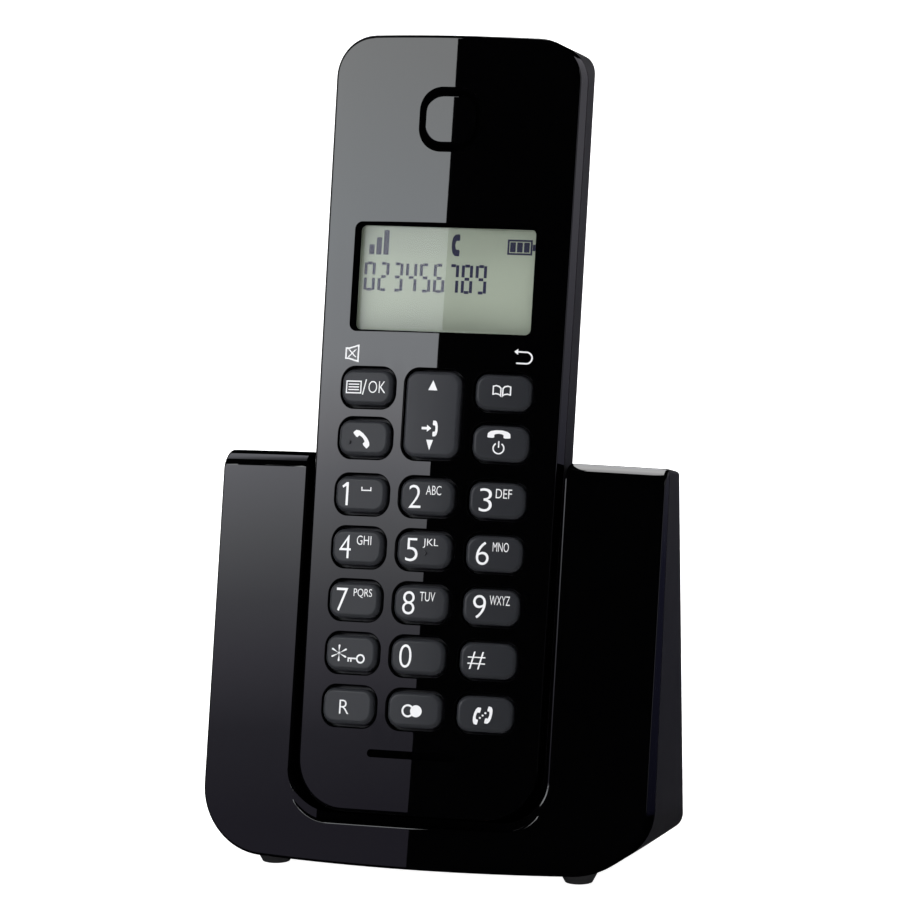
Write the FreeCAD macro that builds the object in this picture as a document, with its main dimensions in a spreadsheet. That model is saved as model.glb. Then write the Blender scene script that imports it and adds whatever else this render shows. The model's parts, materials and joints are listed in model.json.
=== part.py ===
import FreeCAD, Part
import os

# Cordless telephone: a handset leaning back in the cradle of its base.
# Handset pieces are drawn upright in their own frame: X across, Y from the front face to the back,
# Z along the length from the bottom end. LEAN then stands them in the cradle.
# Base pieces are drawn in the room's frame, with Z = 0 under the feet.

os.makedirs("parts", exist_ok=True)

DIMS = {
    # whole object
    "lean_deg": 12.06,
    "seat_z": 14.1,
    "origin_y": -27.1,
    # handset case
    "hs_len": 157.0,
    "hs_top_half": 25.7,
    "hs_bottom_half": 24.9,
    "hs_depth": 23.2,
    "hs_crown_r": 87.0,
    "hs_wall": 1.6,
    "hs_seam": 9.6,
    "hs_seam_gap": 0.4,
    "hs_back_r": 9.4,
    "hs_end_r": 6.0,
    "hs_top_r": 9.25,
    "hs_top_taper": 3.3,
    "hs_bottom_r": 10.5,
    # keys
    "col_pitch": 14.17,
    "row_pitch": 10.65,
    "row_first": 21.1,
    "row_talk": 75.1,
    "row_menu": 85.3,
    "nav_mid": 80.3,
    "key_w": 11.1,
    "key_h": 7.1,
    "nav_w": 11.4,
    "nav_h": 17.2,
    "key_gap": 0.55,
    "key_bevel": 0.3,
    "key_rise": 0.8,
    "key_lip": 0.95,
    "key_base": 5.0,
    "key_lip_drop": 2.15,
    "nav_lip_drop": 2.8,
    "mat_front": 5.9,
    "mat_thick": 0.6,
    "board_front": 7.3,
    "board_thick": 1.2,
    # display and sound
    "disp_mid": 107.85,
    "disp_w": 38.4,
    "disp_h": 22.3,
    "window_front": 4.6,
    "window_thick": 0.9,
    "ear_mid": 139.9,
    "ear_w": 13.2,
    "cap_w": 10.6,
    "cap_h": 10.1,
    "mic_z": 12.0,
    # battery bay
    "cell_r": 5.1,
    "cell_len": 44.0,
    "cell_x": 5.6,
    "cell_y": 17.2,
    "cell_z": 26.9,
    "door_half": 13.8,
    "door_low": 14.0,
    "door_len": 70.0,
    "door_thick": 1.6,
    # fasteners
    "post_x": 17.5,
    "post_low": 12.5,
    "post_high": 146.0,
    # base case
    "bs_half": 46.4,
    "bs_floor": 3.0,
    "bs_face": 2.05,
    "bs_crown_r": 156.0,
    "bs_back": 54.2,
    "bs_back_r": 190.0,
    "bs_back_lean": 5.0,
    "bs_corner_r": 26.0,
    "bs_corner_taper": 3.0,
    "bs_wall": 2.0,
    "bs_plate": 1.6,
    "bs_crest": 72.3,
    "bs_roll_r": 5.7,
    "bs_roll_out": 0.53,
    "seam_lean": 8.7,
    "seam_y": 17.0,
    "seam_z": 14.6,
    "slot_half": 26.8,
    "slot_low": 2.15,
    "slot_low_back": 0.4,
    "slot_depth": 26.2,
    "slot_wall": 1.4,
    "pin_x": 12.0,
    "pin_y": 13.9,
    "foot_x": 31.9,
    "foot_front": 12.5,
    "foot_rear": 40.0,
}

doc = FreeCAD.newDocument("CordlessPhone")
sheet = doc.addObject("Spreadsheet::Sheet", "Dims")
for row, (alias, value) in enumerate(DIMS.items(), start=1):
    sheet.set("A%d" % row, alias)
    sheet.set("B%d" % row, str(value))
    sheet.setAlias("B%d" % row, alias)
doc.recompute()

X = FreeCAD.Vector(1, 0, 0)
Y = FreeCAD.Vector(0, 1, 0)
Z = FreeCAD.Vector(0, 0, 1)
LEAN = FreeCAD.Placement(
    FreeCAD.Vector(0, 0, DIMS["seat_z"]), FreeCAD.Rotation(X, -DIMS["lean_deg"]))
HANDSET = FreeCAD.Placement(
    FreeCAD.Vector(0, DIMS["origin_y"], DIMS["seat_z"]), FreeCAD.Rotation(X, -DIMS["lean_deg"]))
BASE = FreeCAD.Placement(FreeCAD.Vector(0, DIMS["origin_y"], 0), FreeCAD.Rotation())
nodes = []


def rule(text):
    """Turn the sheet's alias words in a rule into references to the sheet."""
    words = str(text).replace("(", " ( ").replace(")", " ) ").split()
    tied = " ".join("Dims." + word if word in DIMS else word for word in words)
    return tied.replace("cos (", "cos(").replace("sin (", "sin(")


def number(text):
    """The value of an alias word or of a plain number."""
    return DIMS[text] if text in DIMS else float(text)


def bind(obj, **sizes):
    """Tie sizes of an object to rules over the sheet."""
    for prop, text in sizes.items():
        obj.setExpression(prop, rule(text))
    return obj


def at(obj, x="0", y="0", z="0"):
    """Tie the corner or centre of an object to rules over the sheet."""
    obj.setExpression("Placement.Base.x", rule(x))
    obj.setExpression("Placement.Base.y", rule(y))
    obj.setExpression("Placement.Base.z", rule(z))
    return obj


def box(name, x, y, z, width, depth, height):
    """A block from its low corner."""
    made = doc.addObject("Part::Box", name)
    bind(made, Length=width, Width=depth, Height=height)
    return at(made, x, y, z)


def slab(name, mid_x, mid_z, width, height, front, depth):
    """A block centred in X and Z."""
    return box(name, "%s - ( %s ) / 2" % (mid_x, width), front,
               "%s - ( %s ) / 2" % (mid_z, height), width, depth, height)


def rod(name, radius, length, x, y, z, along=Z):
    """A cylinder from the centre of its first end."""
    made = doc.addObject("Part::Cylinder", name)
    bind(made, Radius=radius, Height=length)
    made.Placement = FreeCAD.Placement(FreeCAD.Vector(), FreeCAD.Rotation(Z, along))
    return at(made, x, y, z)


def common(name, *shapes):
    made = doc.addObject("Part::MultiCommon", name)
    made.Shapes = list(shapes)
    return made


def fuse(name, *shapes):
    made = doc.addObject("Part::MultiFuse", name)
    made.Shapes = list(shapes)
    made.Refine = True
    return made


def cut(name, base, *tools):
    tool = tools[0] if len(tools) == 1 else fuse(name + "_tools", *tools)
    made = doc.addObject("Part::Cut", name)
    made.Base = base
    made.Tool = tool
    return made


def group(name, *shapes):
    made = doc.addObject("Part::Compound", name)
    made.Links = list(shapes)
    return made


def round_edges(name, base, radius, chosen, kind="Part::Fillet", taper=None):
    """Round the edges of a shape that a test chooses; taper is the radius at their far end."""
    doc.recompute()
    last = radius if taper is None else taper
    picked = []
    for i, edge in enumerate(base.Shape.Edges, start=1):
        if chosen(edge):
            ahead = edge.valueAt(edge.FirstParameter).y <= edge.valueAt(edge.LastParameter).y
            picked.append((i, radius, last) if ahead else (i, last, radius))
    made = doc.addObject(kind, name)
    made.Base = base
    made.Edges = picked
    return made


def middle(edge):
    return edge.valueAt((edge.FirstParameter + edge.LastParameter) / 2)


def straight_along(axis, near=None):
    """A test for straight edges along an axis, and where their middle has to be."""
    def test(edge):
        if edge.Curve.TypeId != "Part::GeomLine":
            return False
        lies = abs(abs(edge.tangentAt(edge.FirstParameter).dot(axis)) - 1) < 1e-3
        return lies and (near is None or near(middle(edge)))
    return test


def node(obj, name, place):
    """Name a finished sub-part and put it in its place."""
    obj.Label = name
    obj.Placement = place
    nodes.append(obj)
    return obj


def pad_key(name, mid_x, mid_z, width, height, radius, front, depth):
    """A block with its four corners rounded, as seen from the front."""
    block = slab(name + "_block", mid_x, mid_z, width, height, front, depth)
    return round_edges(name, block, radius, straight_along(Y))


# ---------------------------------------------------------------- handset case

def handset_solid(name, inset):
    """The handset's outline, cross-section and side view, combined, set in by a wall.

    The upper corners tighten towards the back."""
    gap = number(inset)
    front = doc.addObject("Part::Wedge", name + "_front")
    bind(front, Xmin="%s - hs_bottom_half" % inset, Xmax="hs_bottom_half - %s" % inset,
         X2min="%s - hs_top_half" % inset, X2max="hs_top_half - %s" % inset,
         Ymin=inset, Ymax="hs_len - %s" % inset, Zmin="-60", Zmax="10", Z2min="-60", Z2max="10")
    front.Placement = FreeCAD.Placement(FreeCAD.Vector(), FreeCAD.Rotation(X, 90))
    low = round_edges(name + "_low", front, DIMS["hs_bottom_r"] - gap,
                      straight_along(Y, lambda p: p.z < 50))
    outline = round_edges(name + "_outline", low, DIMS["hs_top_r"] - gap,
                          straight_along(Y, lambda p: p.z > 100), taper=DIMS["hs_top_taper"] - gap)
    tube = box(name + "_tube", "%s - hs_top_half" % inset, "-20", "-5",
               "2 * hs_top_half - 2 * %s" % inset, "hs_depth + 20 - %s" % inset, "hs_len + 10")
    section = round_edges(name + "_section", tube, DIMS["hs_back_r"] - gap,
                          straight_along(Z, lambda p: p.y > 0))
    side = box(name + "_side", "-40", "-20", inset, "80",
               "hs_depth + 20 - %s" % inset, "hs_len - 2 * %s" % inset)
    profile = round_edges(name + "_profile", side, DIMS["hs_end_r"] - gap,
                          straight_along(X, lambda p: p.y > 0))
    crown = rod(name + "_crown", "hs_crown_r - %s" % inset, "hs_len + 20", "0", "hs_crown_r", "-10")
    return common(name, outline, section, profile, crown)


def on_front_rim(edge):
    """Edges between the crowned face and the sides."""
    point = middle(edge)
    reach = (point.x ** 2 + (point.y - DIMS["hs_crown_r"]) ** 2) ** 0.5
    return abs(reach - DIMS["hs_crown_r"]) < 1e-3


outer_sharp = handset_solid("hs_outer_sharp", "0.0")
hs_outer = round_edges("hs_outer", outer_sharp, 0.7, on_front_rim)
hs_inner = handset_solid("hs_inner", "hs_wall")

front_half = box("front_half", "-40", "-10", "-10", "80", "10 + hs_seam", "hs_len + 20")
rear_half = box("rear_half", "-40", "hs_seam + hs_seam_gap", "-10", "80", "40", "hs_len + 20")
hs_skin = cut("hs_skin", hs_outer, hs_inner)
front_skin = common("front_skin", hs_skin, front_half)

# ---------------------------------------------------------------- keys

COLUMNS = {"left": "- col_pitch", "middle": "0", "right": "col_pitch"}
rows = ["row_first + %d * row_pitch" % step for step in range(5)]
KEYS = {
    "key_recall": ("left", rows[0]), "key_redial": ("middle", rows[0]), "key_intercom": ("right", rows[0]),
    "key_star": ("left", rows[1]), "key_0": ("middle", rows[1]), "key_hash": ("right", rows[1]),
    "key_7": ("left", rows[2]), "key_8": ("middle", rows[2]), "key_9": ("right", rows[2]),
    "key_4": ("left", rows[3]), "key_5": ("middle", rows[3]), "key_6": ("right", rows[3]),
    "key_1": ("left", rows[4]), "key_2": ("middle", rows[4]), "key_3": ("right", rows[4]),
    "key_talk": ("left", "row_talk"), "key_off": ("right", "row_talk"),
    "key_menu": ("left", "row_menu"), "key_phonebook": ("right", "row_menu"),
    "key_nav": ("middle", "nav_mid"),
}
TURN = {"left": 1, "middle": 0, "right": -1}
tilt = 9.38
throats = []
bevels = []
for key, (column, row_z) in KEYS.items():
    wide, tall = ("nav_w", "nav_h") if key == "key_nav" else ("key_w", "key_h")
    drop = "nav_lip_drop" if key == "key_nav" else "key_lip_drop"
    mid_x = COLUMNS[column]
    stem = pad_key(key + "_stem", mid_x, row_z, wide, tall, 2.5, "-3", "3 + key_base")
    crown = rod(key + "_crown", "hs_crown_r + key_rise", "hs_len", "0", "hs_crown_r", "0")
    raised = common(key + "_raised", stem, crown)

    def on_key_top(edge):
        point = middle(edge)
        reach = (point.x ** 2 + (point.y - DIMS["hs_crown_r"]) ** 2) ** 0.5
        return abs(reach - DIMS["hs_crown_r"] - DIMS["key_rise"]) < 1e-3
    cap = round_edges(key + "_cap", raised, 0.8, on_key_top)
    lip_block = pad_key(key + "_lip_block", mid_x, row_z, wide + " + 2 * key_lip",
                        tall + " + 2 * key_lip", 3.2, "0", "key_base")
    inner_crown = rod(key + "_lip_crown", "hs_crown_r - " + drop, "hs_len", "0", "hs_crown_r", "0")
    lip = common(key + "_lip", lip_block, inner_crown)
    node(fuse(key, cap, lip), key, HANDSET)

    throats.append(pad_key(key + "_throat", mid_x, row_z, wide + " + 2 * key_gap",
                           tall + " + 2 * key_gap", 3.05, "-3", "3 + 7"))
    mouth = pad_key(key + "_mouth", "0", "0", wide + " + 2 * key_gap + 2 * key_bevel",
                    tall + " + 2 * key_gap + 2 * key_bevel", 3.4, "-3", "3 + key_bevel + 0.12")
    end_y = DIMS["key_bevel"] + 0.12
    bevel = round_edges(key + "_bevel", mouth, DIMS["key_bevel"] - 0.01,
                        lambda edge: abs(middle(edge).y - end_y) < 1e-3, "Part::Chamfer")
    bevel.Placement = FreeCAD.Placement(FreeCAD.Vector(), FreeCAD.Rotation(Z, -tilt * TURN[column]))
    at(bevel, mid_x, "0" if column == "middle" else "1.16", row_z)
    bevels.append(bevel)

# ---------------------------------------------------------------- front cover

disp_land = slab("disp_land", "0", "disp_mid", "45.6", "28.6", "0.5", "window_front - 0.5")
disp_land_in = common("disp_land_in", disp_land, hs_outer)
disp_mouth = pad_key("disp_mouth", "0", "disp_mid", "disp_w", "disp_h", 1.6, "-3", "3 + 3")
disp_hole = pad_key("disp_hole", "0", "disp_mid", "disp_w - 1.4", "disp_h - 1.0", 1.2, "-3", "3 + 9")
window_seat = slab("window_seat", "0", "disp_mid", "43.0", "26.4", "window_front", "5")
ear_block = pad_key("ear_block", "0", "ear_mid", "ear_w", "ear_w", 4.9, "-3", "3 + 1.1")
ear_recess = round_edges("ear_recess", ear_block, 0.95, lambda edge: abs(middle(edge).y - 1.1) < 1e-3,
                         "Part::Chamfer")
ear_hole = pad_key("ear_hole", "0", "ear_mid", "9.0", "8.2", 2.0, "-3", "3 + 6")
mic_slot = pad_key("mic_slot", "- 0.4", "mic_z", "18.4", "1.6", 0.75, "-3", "3 + 1.0")
mic_hole = rod("mic_hole", "0.6", "8", "- 1.0", "-3", "mic_z", Y)

POSTS = {"post_a": ("- post_x", "post_low"), "post_b": ("post_x", "post_low"),
         "post_c": ("- post_x", "post_high"), "post_d": ("post_x", "post_high")}
front_posts = []
pilot_holes = []
rear_posts = []
rear_bores = []
screws = []
for post, (px, pz) in POSTS.items():
    shoulder = rod(post + "_shoulder", "3.4", "board_front - 2", px, "2", pz, Y)
    spigot = rod(post + "_spigot", "2.4", "hs_seam - 2.2", px, "2", pz, Y)
    front_posts += [shoulder, spigot]
    pilot_holes.append(rod(post + "_pilot", "1.15", "7", px, "4.5", pz, Y))
    rear_posts.append(rod(post + "_sleeve", "3.4", "13", px, "hs_seam + 0.3", pz, Y))
    rear_bores.append(rod(post + "_shank_hole", "1.25", "20", px, "9", pz, Y))
    rear_bores.append(rod(post + "_head_hole", "2.5", "10", px, "17.5", pz, Y))
    shank = rod(post + "_shank", "1.0", "11.9", px, "5.6", pz, Y)
    head = rod(post + "_head", "2.2", "1.5", px, "17.5", pz, Y)
    recess = slab(post + "_recess", px, pz, "2.4", "0.5", "18.4", "1")
    recess_2 = slab(post + "_recess_2", px, pz, "0.5", "2.4", "18.4", "1")
    screws.append(cut(post + "_screw", fuse(post + "_bolt", shank, head), recess, recess_2))

posts_inside = common("posts_inside", fuse("front_posts", *front_posts), hs_outer)
front_solid = fuse("front_solid", front_skin, posts_inside, disp_land_in)
front_cuts = throats + bevels + pilot_holes + [
    disp_mouth, disp_hole, window_seat, ear_recess, ear_hole, mic_slot, mic_hole]
disp_step = slab("disp_step", "0", "disp_mid", "60", "40", "3.0", "10")
front_cuts[front_cuts.index(disp_mouth)] = cut("disp_mouth_step", disp_mouth, disp_step)
node(cut("front_cover", front_solid, *front_cuts), "handset_front_cover", HANDSET)

cap_block = pad_key("cap_block", "0", "ear_mid", "cap_w", "cap_h", 3.7, "-3", "3 + 1.1")
cap_crown = rod("cap_crown", "hs_crown_r + 0.15", "hs_len", "0", "hs_crown_r", "0")
cap_top = common("cap_top", cap_block, cap_crown)


def on_cap_top(edge):
    point = middle(edge)
    reach = (point.x ** 2 + (point.y - DIMS["hs_crown_r"]) ** 2) ** 0.5
    return abs(reach - DIMS["hs_crown_r"] - 0.15) < 1e-3


cap_rounded = round_edges("cap_rounded", cap_top, 0.5, on_cap_top)
cap_stem = pad_key("cap_stem", "0", "ear_mid", "8.8", "8.0", 1.9, "0.8", "1.7")
node(fuse("earpiece_cap_body", cap_rounded, cap_stem), "earpiece_cap", HANDSET)

window_sheet = slab("window_sheet", "0", "disp_mid", "42.6", "26.0", "window_front", "window_thick")
window_pane = pad_key("window_pane", "0", "disp_mid", "36.4", "20.7", 0.9, "0", "window_front + window_thick")
window_crown = rod("window_crown", "hs_crown_r - 2.2", "hs_len", "0", "hs_crown_r", "0")
window_raised = common("window_raised", window_pane, window_crown)
node(fuse("window_body", window_sheet, window_raised), "display_window", HANDSET)

# ---------------------------------------------------------------- handset insides

lcd_sheet = slab("lcd_sheet", "0", "disp_mid", "39.4", "23.6", "window_front + window_thick + 0.1", "1.3")
node(group("lcd_set", lcd_sheet), "lcd_panel", HANDSET)
frame_block = slab("frame_block", "0", "disp_mid", "42.6", "26.0", "window_front + window_thick", "1.75")
frame_seat = slab("frame_seat", "0", "disp_mid", "39.8", "24.0", "4", "3.05")
frame_open = slab("frame_open", "0", "disp_mid", "30", "16", "4", "6")
node(cut("lcd_frame_body", frame_block, frame_seat, frame_open), "lcd_frame", HANDSET)

mat_sheet = pad_key("mat_sheet", "0", "53.75", "42.4", "74.1", 4.0, "mat_front", "mat_thick")
nubs = []
domes = []
for key, (column, row_z) in KEYS.items():
    mid_x = COLUMNS[column]
    nubs.append(rod(key + "_nub", "1.6", "0.4", mid_x, "mat_front + mat_thick - 0.05", row_z, Y))
    dome = doc.addObject("Part::Cone", key + "_dome")
    bind(dome, Radius1="1.5", Radius2="2.5", Height="0.33")
    dome.Placement = FreeCAD.Placement(FreeCAD.Vector(), FreeCAD.Rotation(Z, Y))
    domes.append(at(dome, mid_x, "board_front - 0.33", row_z))
node(fuse("mat_body", mat_sheet, *nubs), "keypad_mat", HANDSET)
node(group("dome_set", *domes), "key_domes", HANDSET)

board_block = pad_key("board_block", "0", "78.5", "43.6", "147.0", 8.0, "board_front", "board_thick")
board_holes = [rod(post + "_board_hole", "2.6", "4", px, "6", pz, Y) for post, (px, pz) in POSTS.items()]
node(cut("board_body", board_block, *board_holes), "handset_board", HANDSET)

can = slab("can", "0", "107", "30", "28", "board_front + board_thick", "2.6")
can_inside = slab("can_inside", "0", "107", "29.2", "27.2", "board_front", "board_thick + 2.2")
node(cut("can_body", can, can_inside), "rf_shield", HANDSET)

ear_body = rod("ear_body", "8.5", "3.4", "0", "3.0", "ear_mid", Y)
ear_groove = cut("ear_groove", rod("ear_ring", "7.6", "0.4", "0", "2.9", "ear_mid", Y),
                 rod("ear_ring_in", "6.4", "0.6", "0", "2.8", "ear_mid", Y))
ear_magnet = rod("ear_magnet", "4.5", "0.7", "0", "6.3", "ear_mid", Y)
node(cut("ear_unit", fuse("ear_parts", ear_body, ear_magnet), ear_groove), "earpiece_speaker", HANDSET)

mic_ring = rod("mic_ring", "3.0", "5.1", "- 1.0", "2.15", "mic_z", Y)
mic_ring_in = rod("mic_ring_in", "2.2", "7", "- 1.0", "1.5", "mic_z", Y)
node(cut("mic_boot_body", mic_ring, mic_ring_in), "mic_boot", HANDSET)
mic_can = rod("mic_can", "2.15", "2.6", "- 1.0", "board_front - 2.65", "mic_z", Y)
mic_port = rod("mic_port", "0.5", "0.5", "- 1.0", "board_front - 2.75", "mic_z", Y)
node(cut("mic_unit", mic_can, mic_port), "microphone", HANDSET)

ring_body = rod("ring_body", "9.3", "4.2", "0", "17.0", "106", Y)
ring_cone = rod("ring_cone", "7.5", "0.8", "0", "20.6", "106", Y)
node(cut("ring_unit", fuse("ring_parts", ring_body, rod("ring_magnet", "5", "1.5", "0", "15.6", "106", Y)),
         ring_cone), "ringer_speaker", HANDSET)

# ---------------------------------------------------------------- rear cover and battery

rear_skin = common("rear_skin", hs_skin, rear_half)
lip_out = handset_solid("lip_out", "1.75")
lip_in = handset_solid("lip_in", "2.75")
lip_band = box("lip_band", "-40", "hs_seam - 0.8", "-10", "80", "2.2", "hs_len + 20")
lip_ring = common("lip_ring", cut("lip_wall", lip_out, lip_in), lip_band)
lip_root = common("lip_root", cut("lip_root_wall", hs_inner, lip_in),
                  box("lip_root_band", "-40", "hs_seam + hs_seam_gap", "-10", "80", "1", "hs_len + 20"))
sleeves_in = common("sleeves_in", fuse("sleeves", *rear_posts), hs_outer)
tray = slab("tray", "0", "cell_z + 22", "26.0", "50.4", "11.0", "11.5")
tray_in = slab("tray_in", "0", "cell_z + 22", "22.8", "47.2", "12.0", "20")
ring_holder = cut("ring_holder", rod("ring_out", "11", "5.2", "0", "16.9", "106", Y),
                  rod("ring_in", "9.6", "7", "0", "16", "106", Y))
rear_solid = fuse("rear_solid", rear_skin, lip_ring, lip_root, sleeves_in, tray, ring_holder)
grille = [pad_key("grille_%d" % step, "0", "106 + %s" % lift, "%s" % span, "1.3", 0.6, "18", "10")
          for step, (lift, span) in enumerate(
              (("- 5.2", "9"), ("- 2.6", "13"), ("0", "14"), ("2.6", "13"), ("5.2", "9")))]
contact_slots = [slab("contact_slot_%d" % step, side, "0", "4.4", "8", "11.2", "5.4")
                 for step, side in enumerate(("- pin_x", "pin_x"))]
node(cut("rear_cover", rear_solid, tray_in, *(rear_bores + grille + contact_slots)),
     "handset_rear_cover", HANDSET)

cells = []
for step, side in enumerate(("- cell_x", "cell_x")):
    flip = step == 0
    body_z = "cell_z" if flip else "cell_z + 0.9"
    stud_z = "cell_z + 43" if flip else "cell_z"
    can_rod = rod("cell_%d" % step, "cell_r", "cell_len - 0.9", side, "cell_y", body_z)
    stud = rod("cell_stud_%d" % step, "1.9", "1.0", side, "cell_y", stud_z)
    cells.append(fuse("cell_body_%d" % step, can_rod, stud))
plates = []
for step, (side, low) in enumerate((("- cell_x", "cell_z - 1.5"), ("cell_x", "cell_z - 1.5"),
                                    ("- cell_x", "cell_z + 45.1"), ("cell_x", "cell_z + 45.1"))):
    sheet_plate = box("terminal_%d" % step, "%s - 4.4" % side, "cell_y - 4.2", low, "8.8", "8.4", "0.4")
    is_low = step < 2
    bump = rod("terminal_bump_%d" % step, "2.4", "0.95", side, "cell_y",
               "cell_z - 1.15" if is_low else "cell_z + 44.2")
    plates.append(fuse("terminal_body_%d" % step, sheet_plate, bump))
node(group("cell_pair", *cells), "battery_cells", HANDSET)
node(group("terminal_set", *plates), "battery_contacts", HANDSET)

door_block = pad_key("door_block", "0", "door_low + door_len / 2", "2 * door_half", "door_len", 3.0,
                     "hs_depth + 0.05", "door_thick")
door_y = DIMS["hs_depth"] + 0.05 + DIMS["door_thick"]
door_soft = round_edges("door_soft", door_block, 0.8, lambda edge: abs(middle(edge).y - door_y) < 1e-3)
grips = [slab("door_grip_%d" % step, "0", "%s" % level, "14", "0.8", "hs_depth + door_thick - 0.4", "2")
         for step, level in enumerate(("70", "72.4", "74.8", "77.2"))]
node(cut("door_body", door_soft, *grips), "battery_cover", HANDSET)

pads = []
for step, side in enumerate(("- pin_x", "pin_x")):
    foot_pad = slab("contact_pad_%d" % step, side, "1.05", "4.0", "1.9", "11.4", "5.0")
    tongue = slab("contact_tongue_%d" % step, side, "5.6", "3.0", "8.0", "11.4", "0.5")
    finger = slab("contact_finger_%d" % step, side, "9.4", "3.0", "0.5", "8.55", "3.2")
    pads.append(fuse("charge_contact_%d" % step, foot_pad, tongue, finger))
node(group("charge_contacts", *pads), "handset_charge_contacts", HANDSET)
node(group("screw_set", *screws), "handset_screws", HANDSET)

# ---------------------------------------------------------------- base case

def base_solid(name, inset, floor):
    """Plan, front view, leaning crowned face and rolled top of the base, combined.

    The lower corners are wide at the front and tighten towards the back."""
    gap = number(inset)
    plan_block = box(name + "_plan_block", "%s - bs_half" % inset, "-40", "0",
                     "2 * bs_half - 2 * %s" % inset, "bs_back + 60", "120")
    back_arc = rod(name + "_back_arc", "bs_back_r - %s" % inset, "200", "0", "0", "0")
    back_arc.Placement = FreeCAD.Placement(
        FreeCAD.Vector(), FreeCAD.Rotation(X, DIMS["bs_back_lean"]))
    at(back_arc, "0", "bs_back - bs_back_r + 40 * sin( bs_back_lean )", "- 10 - 40 * cos( bs_back_lean )")
    plan = common(name + "_plan", plan_block, back_arc)

    def on_rear_corner(edge):
        point = middle(edge)
        reach = abs(abs(point.x) - DIMS["bs_half"] + gap)
        return reach < 0.01 and point.y > 20 and edge.Length > 60
    plan_soft = round_edges(name + "_plan_soft", plan, 8.0 - gap, on_rear_corner)
    view_block = box(name + "_view_block", "%s - bs_half" % inset, "-80", floor,
                     "2 * bs_half - 2 * %s" % inset, "160", "120")
    view = round_edges(name + "_view", view_block, DIMS["bs_corner_r"] - gap,
                       straight_along(Y, lambda p: p.z < 20), taper=DIMS["bs_corner_taper"] - gap)
    crown = rod(name + "_crown", "bs_crown_r - %s" % inset, "200", "0", "bs_face + bs_crown_r", "-60")
    roll = rod(name + "_roll", "bs_crown_r + bs_roll_out - %s" % inset, "60 + bs_crest - %s" % inset,
               "0", "bs_face + bs_crown_r", "-60")
    roll_top = round_edges(name + "_roll_top", roll, DIMS["bs_roll_r"] - gap,
                           lambda edge: middle(edge).z > 60)
    leaning = common(name + "_leaning", crown, roll_top)
    leaning.Placement = LEAN
    return common(name, plan_soft, view, leaning)


def slot_solid(name, grow, tall="120"):
    """The room the handset stands in, grown by a wall."""
    gap = number(grow)
    front = box(name + "_front", "- slot_half - %s" % grow, "-40", "- slot_low - %s" % grow,
                "2 * slot_half + 2 * %s" % grow, "44.2 + %s" % grow, tall)
    front_soft = round_edges(name + "_front_soft", front, 9.0 + gap,
                             straight_along(Y, lambda p: p.z < 20))
    back = box(name + "_back", "- slot_half - %s" % grow, "-30",
               "- slot_low_back - %s" % grow, "2 * slot_half + 2 * %s" % grow,
               "slot_depth + 30 + %s" % grow, tall)
    back_soft = round_edges(name + "_back_soft", back, 9.0 + gap,
                            straight_along(Y, lambda p: p.z < 20))
    made = fuse(name, front_soft, back_soft)
    made.Placement = LEAN
    return made


bs_sharp = base_solid("bs_sharp", "0.0", "bs_floor")
bs_inner = base_solid("bs_inner", "bs_wall", "bs_floor + bs_plate")


def on_face_rim(edge):
    """Edges between the leaning crowned face and the flanks, floor or top."""
    point = LEAN.inverse().multVec(middle(edge))
    reach = (point.x ** 2 + (point.y - DIMS["bs_face"] - DIMS["bs_crown_r"]) ** 2) ** 0.5
    return abs(reach - DIMS["bs_crown_r"]) < 1e-3


def on_top_back(edge):
    point = middle(edge)
    return point.z > 72 and (point.y > 28 or abs(point.x) > 45.5) and not on_face_rim(edge)


bs_rolled = round_edges("bs_rolled", bs_sharp, 0.8, on_top_back)
bs_outer = round_edges("bs_outer", bs_rolled, 0.5, on_face_rim)
slot_open = slot_solid("slot_open", "0.0")
slot_walls = slot_solid("slot_walls", "slot_wall")
slot_clear = slot_solid("slot_clear", "1.7")

seam_front = box("seam_front", "-80", "-120", "-120", "160", "120", "320")
seam_front.Placement = FreeCAD.Placement(
    FreeCAD.Vector(0, DIMS["seam_y"], DIMS["seam_z"]), FreeCAD.Rotation(X, -DIMS["seam_lean"]))
at(seam_front, "-80", "seam_y - 120 * cos( seam_lean ) - 120 * sin( seam_lean )",
   "seam_z + 120 * sin( seam_lean ) - 120 * cos( seam_lean )")
seam_back = box("seam_back", "-80", "-120", "-120", "160", "120.4", "320")
seam_back.Placement = seam_front.Placement
at(seam_back, "-80", "seam_y - 120 * cos( seam_lean ) - 120 * sin( seam_lean )",
   "seam_z + 120 * sin( seam_lean ) - 120 * cos( seam_lean )")

bs_skin = cut("bs_skin", bs_outer, bs_inner)
front_wall = common("front_wall", bs_skin, seam_front)
cradle = common("cradle", slot_walls, bs_outer)
rests = fuse("rests", *[box("rest_%d" % step, low_x, "11", "- 1.6", "1.2", "8", "1.48")
                        for step, low_x in enumerate(("- 7.0", "5.8"))])
rests.Placement = LEAN
plate_room = box("plate_room", "-37.2", "-20", "-5", "74.4", "90", "bs_floor + bs_plate + 5.2")
plate_crown = rod("plate_crown", "bs_crown_r - bs_wall", "200", "0", "bs_face + bs_crown_r", "-60")
plate_crown.Placement = LEAN.multiply(plate_crown.Placement)
at(plate_crown, "0", "( bs_face + bs_crown_r ) * cos( lean_deg ) - 60 * sin( lean_deg )",
   "seat_z - ( bs_face + bs_crown_r ) * sin( lean_deg ) - 60 * cos( lean_deg )")
plate_gap = common("plate_gap", plate_room, plate_crown)

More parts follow.
